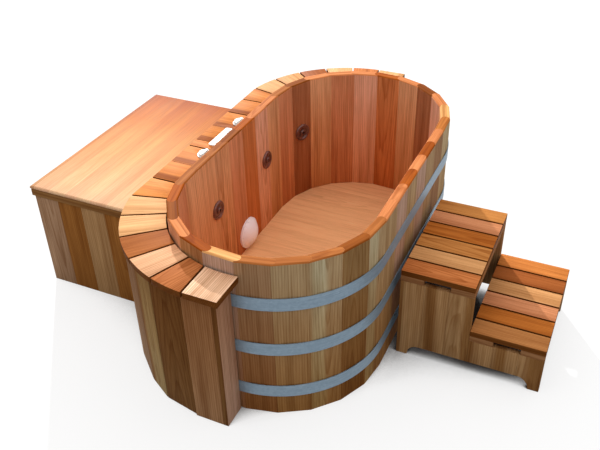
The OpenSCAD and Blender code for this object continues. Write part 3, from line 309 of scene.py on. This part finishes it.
BAND_STEEL = galvanised_band()
STEEL = turned_steel()
JET_PLASTIC = moulded("abs_brown_moulded", "#5C3228", "#7E4A3C", 0.34)
COVER_PLASTIC = moulded("abs_blush_moulded", "#F6EEF3", "#FDF8FF", 0.36)
WHITE_PLASTIC = moulded("abs_white_moulded", "#DEDEDB", "#ECECEA", 0.30, coat=0.2)
BUTTON_RUBBER = moulded("silicone_white_moulded", "#DADDE0", "#E8EAEC", 0.5)
GREY_RUBBER = moulded("silicone_grey_moulded", "#A9B0B6", "#BBC1C6", 0.5)
BLACK_PLASTIC = moulded("abs_black_moulded", "#202226", "#303338", 0.45)
PIPE_PLASTIC = moulded("pvc_white_extruded", "#DCDCD6", "#EDEDE8", 0.38)
RED_PLASTIC = moulded("nylon_red_moulded", "#9C2B22", "#B83A2E", 0.4)
MOTOR_ENAMEL = moulded("enamel_grey_sprayed", "#4B545D", "#5E6873", 0.38, grain_mm=1.5, coat=0.4)
FILTER_CLOTH = filter_cloth()


# ---------- Boards: grain and tone on merged copies of the wooden nodes ----------

WELD = 0.02 * MM
FLAT_ANGLE = math.radians(0.3)
EASED_ANGLE = math.radians(40)
SHADED_SHARP_ANGLE = math.radians(28)
# The share of boards that are flat-sawn, with the pith close behind the wide face
FLAT_SAWN = 0.25
# Boards lie this far apart in the pattern, in metres, and differ this much in lightness
PATTERN_SHIFT = 20
LIGHTNESS = (0.97, 1.03)
# A board with no band is all band, in its own tone
WHOLE_BOARD = (0.5, 1.0)
# Limits on parts of unit vectors. The normals of a board's sides run less than this along it
ALONG = 0.3
# A face looks up, or a board stands, above this. At the rim its eased edges count as well
UPWARDS = 0.5
RIM_UPWARDS = 0.25
# The end boards' wide faces look to the front and the back
FRONT_OR_BACK = 0.7


def islands(bm):
    """The separate boards of a mesh, each a list of faces."""
    found, seen = [], set()
    for start in bm.faces:
        if start in seen:
            continue
        seen.add(start)
        stack, board = [start], []
        while stack:
            face = stack.pop()
            board.append(face)
            for edge in face.edges:
                for other in edge.link_faces:
                    if other not in seen:
                        seen.add(other)
                        stack.append(other)
        found.append(board)
    return found


def middle_of(faces):
    """The middle and the size of some faces' box."""
    points = [v.co for f in faces for v in f.verts]
    low = Vector([min(p[i] for p in points) for i in range(3)])
    high = Vector([max(p[i] for p in points) for i in range(3)])
    return (low + high) / 2, high - low


def spine_point(middle):
    """The nearest point to a piece on the tub's middle line, at the piece's own height."""
    return Vector((max(-HALF_STRAIGHT, min(HALF_STRAIGHT, middle.x)), 0, middle.z))


# The ways that a board's length may run, from its middle and its size

def longest(middle, extent):
    return (X, Y, Z)[max(range(3), key=lambda i: extent[i])]


def lengthwise(middle, extent):
    return X


def crosswise(middle, extent):
    return Y


def upright(middle, extent):
    return Z


def outwards(middle, extent):
    """From the tub's wall outwards, as the tapered deck boards lie."""
    return (middle - spine_point(middle)).normalized()


def board_axes(faces, along, out):
    """Across, through and along. Through is where the widest face looks: up or outwards."""
    sides = (f for f in faces if abs(f.normal.dot(along)) < ALONG)
    widest = max(sides, key=lambda f: f.calc_area())
    through = (widest.normal - along * widest.normal.dot(along)).normalized()
    if through.dot(out) < 0:
        through = -through
    return along.cross(through).normalized(), through, along


def eased_copy(source, ease, cuts):
    """A merged copy of a CAD node's mesh, parted along the cuts and with its edges eased."""
    bm = bmesh.new()
    bm.from_mesh(source.data)
    bmesh.ops.remove_doubles(bm, verts=bm.verts, dist=WELD)
    bmesh.ops.dissolve_limit(bm, angle_limit=FLAT_ANGLE, verts=bm.verts, edges=bm.edges)
    for point, normal in cuts:
        everything = bm.verts[:] + bm.edges[:] + bm.faces[:]
        bmesh.ops.bisect_plane(bm, geom=everything, plane_co=point, plane_no=normal)
    if ease:
        sharp = [e for e in bm.edges
                 if e.is_manifold and e.calc_face_angle_signed(0) > EASED_ANGLE]
        bmesh.ops.bevel(bm, geom=sharp, offset=ease * MM, segments=2, profile=0.5,
                        affect="EDGES", material=-1, clamp_overlap=True)
    return bm


def in_order(bm, order, board_of):
    """The boards of a mesh in order; board_of parts a solid that stands for several boards."""
    groups = []
    for board in islands(bm):
        parts = {}
        for face in board:
            key = board_of(face.calc_center_median()) if board_of else 0
            parts.setdefault(key, []).append(face)
        groups += [parts[key] for key in sorted(parts)]
    groups.sort(key=lambda faces: order(middle_of(faces)[0]))
    return groups


def sawn(draw):
    """How a board was cut: its middle's place from the pith, and how it leans along the board.

    Distances are drawn in mm. The order of the draws settles every board's look.
    """
    flip = draw.choice((-1, 1))
    if draw.random() < FLAT_SAWN:
        pith = Vector((draw.uniform(-20, 20), flip * draw.uniform(25, 60), 0)) * MM
        return pith, draw.uniform(0.02, 0.06)
    pith = Vector((flip * draw.uniform(70, 180), draw.uniform(-40, 40), 0)) * MM
    return pith, draw.uniform(-0.012, 0.012)


def boards(node, wood, body, plan, order, along=longest, ease=1.2, side_of=None,
           board_of=None, core=spine_point, cuts=()):
    """A merged copy of a wooden CAD node, with a grain and a tone of its own on each board.

    plan lists the boards' tones, or is a dictionary of such lists for the sides that side_of
    names. A tone is a name, or a name with a band across the board: the band's tone, its middle
    and its half width, as shares of the board's width from left to right, seen from outside or
    above. order sorts the boards. core gives a point inside, from which out is told. ease is the
    width of the eased edges in mm. cuts are the points and normals of planes that part the faces
    where the tone changes.
    """
    draw = random.Random(node)
    bm = eased_copy(NODES[node], ease, cuts)
    grain = bm.loops.layers.float_vector.new("grain")
    tone = bm.loops.layers.float_color.new("tone")
    band = bm.loops.layers.float_color.new("band")
    for number, faces in enumerate(in_order(bm, order, board_of)):
        middle, extent = middle_of(faces)
        length = along(middle, extent)
        out = Z if abs(length.z) < UPWARDS else middle - core(middle)
        axes = board_axes(faces, length, out)
        pith, lean = sawn(draw)
        shift = draw.uniform(-PATTERN_SHIFT, PATTERN_SHIFT)
        lightness = draw.uniform(*LIGHTNESS)
        across = [(v.co - middle).dot(axes[0]) for f in faces for v in f.verts]
        left, width = min(across), max(across) - min(across)
        for face in faces:
            side = side_of(face.calc_center_median(), face.normal) if side_of else None
            tones = plan[side] if side_of else plan
            entry = tones[number % len(tones)]
            if isinstance(entry, str):
                entry = (entry, entry) + WHOLE_BOARD
            own, streak, centre, half = entry
            own_colour = tuple(lightness * c for c in linear(TONES[own]))
            for loop in face.loops:
                local = Vector([(loop.vert.co - middle).dot(axis) for axis in axes])
                share = (local.x - left) / width
                if side == "rim":
                    # the end grain at the rim reads as lines that follow the rim
                    local = Vector((local.y, local.z, local.x))
                local += pith
                local.y += lean * local.z
                local.z += shift
                loop[grain] = local
                loop[tone] = own_colour + ((share - centre) / half,)
                loop[band] = rgba(TONES[streak])
    mesh = bpy.data.meshes.new(node + "_boards")
    bm.to_mesh(mesh)
    bm.free()
    mesh.materials.clear()
    mesh.materials.append(wood)
    for polygon in mesh.polygons:
        polygon.use_smooth = True
        polygon.material_index = 0
    mesh.set_sharp_from_angle(angle=SHADED_SHARP_ANGLE)
    piece = bpy.data.objects.new(node + "_boards", mesh)
    bpy.context.scene.collection.objects.link(piece)
    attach(piece, body)
    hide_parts(node)


# Cedar's range, from pale sapwood to brown heartwood. The sides have weathered, and inside the tub
# the wood is redder
TONES = {
    # deck and treads
    "pale": "#EFB67E", "shell": "#F4C6A2", "apricot": "#ED9851", "honey": "#DEA26A",
    "ginger": "#D08A4A", "fawn": "#C0804A", "fox": "#B46C3A", "melon": "#DF8A46",
    "straw": "#E4A56B", "linen": "#E6AE84", "coral": "#D99064", "orange": "#CE7C45",
    "amber": "#C06F2E", "ochre": "#BE7342", "russet": "#AA6030", "toffee": "#74441C",
    # the staves' rims
    "rim_pale": "#E99F5B", "rim_salmon": "#D57A43", "rim_ginger": "#C67130",
    "rim_orange": "#AF602B", "rim_amber": "#B25417", "rim_rust": "#9D4610",
    "rim_russet": "#8F4615",
    # the box's lid
    "lid_pale": "#F3CBA6", "lid_deep": "#F0C19F", "lid_strip": "#D4A27C",
    # sides
    "tan": "#B38A5E", "blush": "#BF9275", "rust": "#AE7243", "olive": "#C09C6E",
    "cream": "#BFA277", "moss": "#A68557", "dusk": "#9C7656", "umber": "#95693D",
    "brown": "#A4754E", "bark": "#7A512B", "mauve": "#B08A6B", "walnut": "#9C6530",
    # inside the tub
    "rose": "#E3A27D", "peach": "#D79767", "clay": "#CF865B", "sienna": "#C97743",
    "cocoa": "#A4643F", "board": "#FFC68F",
}


# ---------- The tub's wall and floor ----------

# The staves anticlockwise from the near end of the front: their rims, outsides and insides
STAVE_PLAN = {
    "rim": ["rim_" + tone for tone in (
        "salmon", "salmon", "amber", "salmon", "rust", "salmon", "ginger", "pale", "salmon",
        "russet", "salmon", "amber", "salmon", "salmon", "salmon", "russet", "orange", "salmon",
        "salmon", "amber", "russet", "orange", "orange", "orange", "amber", "russet", "salmon",
        "rust", "pale", "orange", "orange", "orange", "russet", "orange")],
    "outside": [
        "tan", "blush", "tan", "blush", "tan", "brown", "olive", "tan", "cream", "umber", "olive",
        "tan", "blush", "rust", "tan", "cream", "umber", "tan", "olive", "brown", "blush", "tan",
        "cream", "umber", "rust", "tan", "coral", "rust", "blush", "brown", "tan",
        ("tan", "cream", 0.25, 0.2), "umber", ("tan", "cream", 0.25, 0.25)],
    "inside": [
        "peach", "rose", "clay", "sienna", "peach", "rose", "clay", "peach", "rose", "cocoa",
        "peach", "sienna", "rose", "clay", "peach", "cocoa", "clay", "peach", "rose", "sienna",
        "clay", "peach", "peach", "peach", "clay", "peach", "clay", "rose", "peach", "cocoa",
        "peach", "clay", "rose", "sienna"],
}
FIRST_STAVES = {"staves_front": 0, "staves_far_end": 7, "staves_back": 17, "staves_near_end": 24}


def wall_path(point):
    """How far along the wall a point is, anticlockwise from the near end of the front."""
    if point.x > HALF_STRAIGHT:
        angle = math.atan2(point.x - HALF_STRAIGHT, -point.y) % (2 * math.pi)
        return STRAIGHT + angle * END_RADIUS
    if point.x < -HALF_STRAIGHT:
        angle = math.atan2(-HALF_STRAIGHT - point.x, point.y) % (2 * math.pi)
        return 2 * STRAIGHT + (math.pi + angle) * END_RADIUS
    if point.y < 0:
        return point.x + HALF_STRAIGHT
    return STRAIGHT + math.pi * END_RADIUS + HALF_STRAIGHT - point.x


def stave_number(point):
    return int(wall_path(point) / STAVE_PITCH)


def stave_side(centre, normal):
    if centre.z > RIM_Z - RIM_ROUND and normal.z > RIM_UPWARDS:
        return "rim"
    return "outside" if normal.dot(centre - spine_point(centre)) > 0 else "inside"


def by_x(point):
    return point.x


def by_y(point):
    return point.y


def by_height(point):
    """From the floor up, and at one height from the near front to the far back."""
    return point.z * 10 + point.x + point.y


for node, first in FIRST_STAVES.items():
    plan = {side: tones[first:] + tones[:first] for side, tones in STAVE_PLAN.items()}
    boards(node, STAVE_WOOD, "tub", plan, stave_number, upright, ease=0,
           side_of=stave_side)

boards("floor_boards", FLOOR_WOOD, "tub", ["board"], by_x, crosswise, ease=0.6)
boards("floor_joists", FRAME_WOOD, "tub", ["tan", "brown"], by_y)


# ---------- Deck and skirt ----------

EDGES = ["toffee"]
DECK_EASE = 1.5
# The boards between the tub and the box have a darker streak along one edge
BANDED = ("melon", "russet", 0.14, 0.14)
SKIRT_TONES = ["brown", "bark", ("moss", "umber", 0.0, 0.2), "dusk", "tan", "brown", "walnut",
               "tan"]


def deck_side(centre, normal):
    """End grain and sawn edges soak up more finish."""
    return "top" if abs(normal.z) > UPWARDS else "edge"


def end_board_side(centre, normal):
    return "face" if abs(normal.y) > FRONT_OR_BACK else "edge"


def bearing_near(point):
    """Round the near end, from the front towards the box."""
    return math.atan2(point.y, -HALF_STRAIGHT - point.x)


def bearing_far(point):
    """Round the far end, from the front towards the box."""
    return math.atan2(point.y, point.x - HALF_STRAIGHT)


def slats(node, body, tops, order, along):
    """Boards of the deck or of a tread."""
    boards(node, DECK_WOOD, body, {"top": tops, "edge": EDGES}, order, along,
           ease=DECK_EASE, side_of=deck_side)


slats("deck_boards_near", "tub",
      ["shell", "ochre", "linen", "fox", "pale", "pale", "apricot"], bearing_near, outwards)
slats("deck_boards_back", "tub",
      [BANDED, BANDED, "melon", BANDED, BANDED, BANDED], by_x, crosswise)
slats("deck_boards_far", "tub",
      ["pale", "orange", "pale", "russet", "straw", "straw", "melon"], bearing_far, outwards)

boards("skirt_panels_near", SKIRT_WOOD, "tub", SKIRT_TONES, bearing_near, upright)
boards("skirt_panels_far", SKIRT_WOOD, "tub", SKIRT_TONES, bearing_far, upright)
boards("skirt_fascia", SKIRT_WOOD, "tub", ["tan", "olive", "walnut"], by_x, upright)
boards("end_boards", SKIRT_WOOD, "tub",
       {"face": ["blush", "mauve"], "edge": ["bark"]}, by_x, upright, side_of=end_board_side)
boards("skirt_frame", FRAME_WOOD, "tub", ["tan", "brown", "umber"], by_height)


# ---------- Equipment box ----------

# The boards of the near wall are numbered from 0, those of the back from 10, the far wall's from 20
NEXT_WALL = 10
BOX_TONES = ["tan", "walnut", "tan", "walnut", "mauve", "olive", "rust", "tan"]
BOX_PLAN = {number: [BOX_TONES[number % NEXT_WALL % len(BOX_TONES)]]
            for number in range(2 * NEXT_WALL + BOX_SIDE_BOARDS)}
box_low, box_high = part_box("box_walls")


def box_board(point):
    """The number of a box wall's board, between its grooves."""
    if point.y > box_high.y - BOX_BACK_DEPTH:
        share = (point.x - box_low.x) / (box_high.x - box_low.x)
        return NEXT_WALL + int(share * BOX_BACK_BOARDS)
    wall = 2 * NEXT_WALL if point.x > 0 else 0
    return wall + int((point.y - box_low.y) / (box_high.y - box_low.y) * BOX_SIDE_BOARDS)


def box_side(centre, normal):
    return box_board(centre)


def box_core(middle):
    return Vector(((box_low.x + box_high.x) / 2, (box_low.y + box_high.y) / 2, middle.z))


def lid_board(point):
    return sum(point.y > seam for seam in LID_SEAMS)


boards("box_walls", BOX_WOOD, "tub", BOX_PLAN, box_board, upright,
       side_of=box_side, board_of=box_board, core=box_core)
boards("box_frame", FRAME_WOOD, "tub", ["tan", "brown"], by_height)
boards("box_base", FRAME_WOOD, "tub", ["brown", "tan"], by_height)
boards("box_lid", LID_WOOD, "equipment_lid",
       ["lid_pale", "lid_pale", "lid_deep", "lid_pale", "lid_deep", "lid_pale", "lid_deep",
        "lid_strip"],
       by_y, lengthwise, ease=0, board_of=lid_board,
       cuts=[(Vector((0, seam, 0)), Y) for seam in LID_SEAMS])
boards("lid_frame", BOX_WOOD, "equipment_lid", ["umber"], by_x)


# ---------- Steps ----------

steps_low, steps_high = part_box("step_sides")


def steps_core(middle):
    return Vector(((steps_low.x + steps_high.x) / 2, middle.y, middle.z))


def side_by_side(point):
    """The near side's boards from back to front, and then the far side's."""
    return point.x * 10 - point.y


boards("step_sides", STEP_WOOD, "steps",
       [("tan", "umber", 0.0, 0.15), ("tan", "umber", 0.32, 0.2), ("tan", "umber", 0.92, 0.25),
        ("tan", "umber", 0.0, 0.18), ("tan", "umber", 0.3, 0.2), ("tan", "umber", 0.8, 0.35)],
       side_by_side, upright, core=steps_core)
boards("step_rails", STEP_WOOD, "steps", ["brown"], by_height)
boards("step_stretchers", FRAME_WOOD, "steps", ["brown", "tan"], by_height)
slats("upper_tread", "steps",
      ["orange", "honey", "ginger", "amber", "coral", "ginger"], by_x, crosswise)
slats("lower_tread", "steps",
      ["fawn", "amber", "coral", "honey", "russet", "melon"], by_x, crosswise)


# ---------- Metal and plastic nodes keep their shape ----------

FINISHES = (
    (BAND_STEEL, ("hoop_top", "hoop_middle", "hoop_bottom")),
    (STEEL, ("hoop_bolts", "hinge_leaves_fixed", "hinge_leaves_moving", "pump_rotor", "heater")),
    (MOTOR_ENAMEL, ("pump_motor",)),
    (BLACK_PLASTIC, ("pump_housing", "filter_housing", "filter_lid", "control_box")),
    (FILTER_CLOTH, ("filter_cartridge",)),
    (PIPE_PLASTIC, ("suction_pipe", "pressure_pipes", "air_pipes", "drain_pipe", "valve_bodies",
                    "jet_bodies", "suction_fitting")),
    (RED_PLASTIC, ("suction_valve_handle", "return_valve_handle", "drain_valve_handle")),
    (JET_PLASTIC, ("jet_face_near", "jet_face_middle", "jet_face_far")),
    (COVER_PLASTIC, ("suction_cover",)),
    (WHITE_PLASTIC, ("drain_strainer", "air_control_bodies", "air_knob_near", "air_knob_far",
                     "keypad_housing")),
    (BUTTON_RUBBER, ("keypad_button_1", "keypad_button_3")),
    (GREY_RUBBER, ("keypad_button_2",)),
)
for finish, nodes in FINISHES:
    for node in nodes:
        NODES[node].data.materials.clear()
        NODES[node].data.materials.append(finish)


# ---------- Camera, floor and light ----------

# Fitted to the photograph's straight edges. Angles are in radians, lengths in metres
CAMERA_PLACE = Vector((-2.40067, -1.04374, 2.13107))
CAMERA_AZIMUTH = -1.12754
CAMERA_HEIGHT = 0.60813
CAMERA_ROLL = -0.02559
LENS_MM = 46.52
CAMERA_REACH = 60

FLOOR_HALF = 14
FLOOR_GREY = 0.34
# How far away things darken the floor, and the share of open air at which its paint, a painted
# shade, starts and ends to grow paler, and then to be lifted to white
SHADE_REACH = 0.9
PAINT_FROM, PAINT_TO = 0.08, 0.26
LIFT_FROM, LIFT_TO = 0.26, 0.46
HIDDEN_GREY = 0.06
OPEN_GREY = 0.30
OPEN_LIFT = 0.73

FILL = 0.36
# A name, the direction it comes from, its strength and its angle in radians. The wide one is as a
# ceiling of soft boxes: it reaches down to 30 degrees above the floor
LAMPS = (
    ("high_soft_boxes", Vector((0, 0, 1)), 1.66, 2.1),
    ("low_sun", Vector((0.746, 0.562, 0.358)), 3.5, 0.02),
)
LAMP_DISTANCE = 4


def photo_camera():
    """The photograph's view, on the sensor's default width of 36 mm."""
    back = Vector((math.sin(CAMERA_AZIMUTH) * math.cos(CAMERA_HEIGHT),
                   -math.cos(CAMERA_AZIMUTH) * math.cos(CAMERA_HEIGHT), math.sin(CAMERA_HEIGHT)))
    level = Vector((math.cos(CAMERA_AZIMUTH), math.sin(CAMERA_AZIMUTH), 0))
    right = Matrix.Rotation(CAMERA_ROLL, 3, back) @ level
    camera = bpy.data.objects.new("camera", bpy.data.cameras.new("camera"))
    camera.data.lens = LENS_MM
    camera.data.clip_end = CAMERA_REACH
    axes = Matrix((right, back.cross(right), back)).transposed()
    camera.matrix_world = Matrix.Translation(CAMERA_PLACE) @ axes.to_4x4()
    bpy.context.scene.collection.objects.link(camera)
    bpy.context.scene.camera = camera


def seen_directly(tree):
    """1 for rays from the camera, mirrors and glass, and 0 for light that falls on things."""
    path = add(tree, "LightPath").outputs
    some = feed(tree, "Math", {0: path["Is Camera Ray"], 1: path["Is Glossy Ray"]},
                operation="MAXIMUM")
    return feed(tree, "Math", {0: some, 1: path["Is Transmission Ray"]}, operation="MAXIMUM")


def studio_floor():
    """A pale floor that looks white, keeps a soft shadow, with painted shade under and inside
    things, and throws little light back.
    """
    material, tree = new_material("studio_floor_paint")
    dull = feed(tree, "BsdfDiffuse", {"Color": (FLOOR_GREY, FLOOR_GREY, FLOOR_GREY, 1)})
    # painted shade: under and inside things the floor's paint is darker and isn't lifted to white
    open_air = feed(tree, "AmbientOcclusion", {"Distance": SHADE_REACH}, "AO")
    paint = remap(tree, open_air, HIDDEN_GREY, OPEN_GREY, PAINT_FROM, PAINT_TO)
    white = feed(tree, "BsdfDiffuse", {"Color": paint})
    strength = remap(tree, open_air, 0.0, OPEN_LIFT, LIFT_FROM, LIFT_TO)
    lift = feed(tree, "Emission", {"Color": (1, 1, 1, 1), "Strength": strength})
    shown = feed(tree, "AddShader", {0: white, 1: lift})
    both = feed(tree, "MixShader", {0: seen_directly(tree), 1: dull, 2: shown})
    add(tree, "OutputMaterial", {"Surface": both})
    bm = bmesh.new()
    bmesh.ops.create_grid(bm, x_segments=1, y_segments=1, size=FLOOR_HALF)
    mesh = bpy.data.meshes.new("studio_floor")
    bm.to_mesh(mesh)
    bm.free()
    mesh.materials.append(material)
    floor = bpy.data.objects.new("studio_floor", mesh)
    bpy.context.scene.collection.objects.link(floor)


def studio_light():
    """Even light from all round, more from high up, and a low sun from behind the far end."""
    world = bpy.data.worlds.new("studio")
    bpy.context.scene.world = world
    world.use_nodes = True
    tree = world.node_tree
    tree.nodes.clear()
    fill = feed(tree, "Background", {"Color": (1.0, 0.99, 0.98, 1), "Strength": FILL})
    white = feed(tree, "Background", {"Color": (1, 1, 1, 1), "Strength": 1.0})
    both = feed(tree, "MixShader", {0: seen_directly(tree), 1: fill, 2: white})
    add(tree, "OutputWorld", {"Surface": both})
    for name, towards, energy, angle in LAMPS:
        lamp = bpy.data.lights.new(name, "SUN")
        lamp.energy = energy
        lamp.angle = angle
        light = bpy.data.objects.new(name, lamp)
        turn = towards.to_track_quat("Z", "Y").to_matrix().to_4x4()
        light.matrix_world = Matrix.Translation(towards * LAMP_DISTANCE) @ turn
        bpy.context.scene.collection.objects.link(light)


photo_camera()
studio_floor()
studio_light()
bpy.context.scene.view_settings.view_transform = "Standard"
